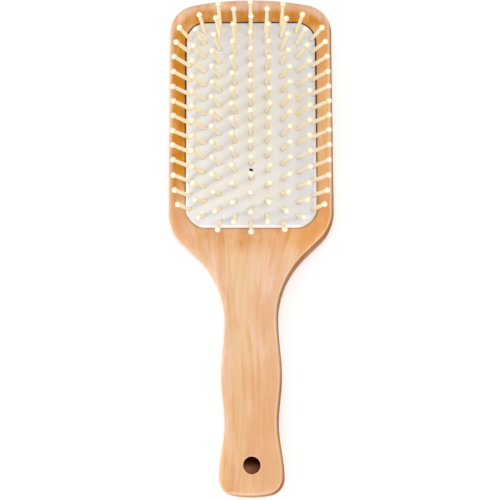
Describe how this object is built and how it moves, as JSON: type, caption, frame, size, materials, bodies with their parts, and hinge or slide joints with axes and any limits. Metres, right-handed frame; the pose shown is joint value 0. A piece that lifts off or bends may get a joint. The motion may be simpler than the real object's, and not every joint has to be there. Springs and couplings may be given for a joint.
{
  "type": "paddle brush",
  "caption": "Wooden paddle hairbrush with a wide flat head, a domed rubber air cushion, round-tipped wooden pins and a waisted handle with a hanging hole.",
  "frame": {"origin": "middle of the flat back of the board, which is the middle of the bounding box's bottom", "axes": "+X across the brush to the right, +Y along it from the handle to the toe of the head, +Z from the flat back up the pins"},
  "size_m": [0.0804, 0.245, 0.038],
  "materials": {
    "board_wood": "sanded pale hardwood, thinly oiled, satin",
    "cushion_rubber": "matte off-white rubber",
    "pin_wood": "polished cream hardwood"
  },
  "bodies": {
    "board": {"wooden_board": "board_wood"},
    "cushion": {"rubber_cushion": "cushion_rubber"},
    "pin_column_1": {"pins_1_toe": "pin_wood", "pins_1_middle": "pin_wood", "pins_1_heel": "pin_wood"},
    "pin_column_2": {"pins_2_toe": "pin_wood", "pins_2_middle": "pin_wood", "pins_2_heel": "pin_wood"},
    "pin_column_3": {"pins_3_toe": "pin_wood", "pins_3_middle": "pin_wood", "pins_3_heel": "pin_wood"},
    "pin_column_4": {"pins_4_toe": "pin_wood", "pins_4_middle": "pin_wood", "pins_4_heel": "pin_wood"},
    "pin_column_5": {"pins_5_toe": "pin_wood", "pins_5_middle": "pin_wood", "pins_5_heel": "pin_wood"},
    "pin_column_6": {"pins_6_toe": "pin_wood", "pins_6_middle": "pin_wood", "pins_6_heel": "pin_wood"},
    "pin_column_7": {"pins_7_toe": "pin_wood", "pins_7_middle": "pin_wood", "pins_7_heel": "pin_wood"},
    "pin_column_8": {"pins_8_toe": "pin_wood", "pins_8_middle": "pin_wood", "pins_8_heel": "pin_wood"},
    "pin_column_9": {"pins_9_toe": "pin_wood", "pins_9_middle": "pin_wood", "pins_9_heel": "pin_wood"}
  },
  "joints": [
    {"name": "cushion_press", "type": "slide", "parent": "board", "child": "cushion", "axis": [0, 0, -1], "range_m": [0, 0.003], "stiffness_N_per_m": 2500, "deforming": ["rubber_cushion"]},
    {"name": "pins_1_rock", "type": "hinge", "parent": "cushion", "child": "pin_column_1", "pos_m": [-0.03002, 0.0577, 0.01399], "axis": [0, 1, 0], "range_deg": [-10, 10], "stiffness_Nm_per_rad": 0.4},
    {"name": "pins_2_rock", "type": "hinge", "parent": "cushion", "child": "pin_column_2", "pos_m": [-0.02265, 0.0577, 0.01681], "axis": [0, 1, 0], "range_deg": [-10, 10], "stiffness_Nm_per_rad": 0.4},
    {"name": "pins_3_rock", "type": "hinge", "parent": "cushion", "child": "pin_column_3", "pos_m": [-0.01514, 0.0577, 0.01837], "axis": [0, 1, 0], "range_deg": [-10, 10], "stiffness_Nm_per_rad": 0.4},
    {"name": "pins_4_rock", "type": "hinge", "parent": "cushion", "child": "pin_column_4", "pos_m": [-0.00758, 0.0577, 0.01969], "axis": [0, 1, 0], "range_deg": [-10, 10], "stiffness_Nm_per_rad": 0.4},
    {"name": "pins_5_rock", "type": "hinge", "parent": "cushion", "child": "pin_column_5", "pos_m": [0, 0.0577, 0.01954], "axis": [0, 1, 0], "range_deg": [-10, 10], "stiffness_Nm_per_rad": 0.4},
    {"name": "pins_6_rock", "type": "hinge", "parent": "cushion", "child": "pin_column_6", "pos_m": [0.00758, 0.0577, 0.01969], "axis": [0, 1, 0], "range_deg": [-10, 10], "stiffness_Nm_per_rad": 0.4},
    {"name": "pins_7_rock", "type": "hinge", "parent": "cushion", "child": "pin_column_7", "pos_m": [0.01514, 0.0577, 0.01837], "axis": [0, 1, 0], "range_deg": [-10, 10], "stiffness_Nm_per_rad": 0.4},
    {"name": "pins_8_rock", "type": "hinge", "parent": "cushion", "child": "pin_column_8", "pos_m": [0.02265, 0.0577, 0.01681], "axis": [0, 1, 0], "range_deg": [-10, 10], "stiffness_Nm_per_rad": 0.4},
    {"name": "pins_9_rock", "type": "hinge", "parent": "cushion", "child": "pin_column_9", "pos_m": [0.03002, 0.0577, 0.01399], "axis": [0, 1, 0], "range_deg": [-10, 10], "stiffness_Nm_per_rad": 0.4}
  ]
}
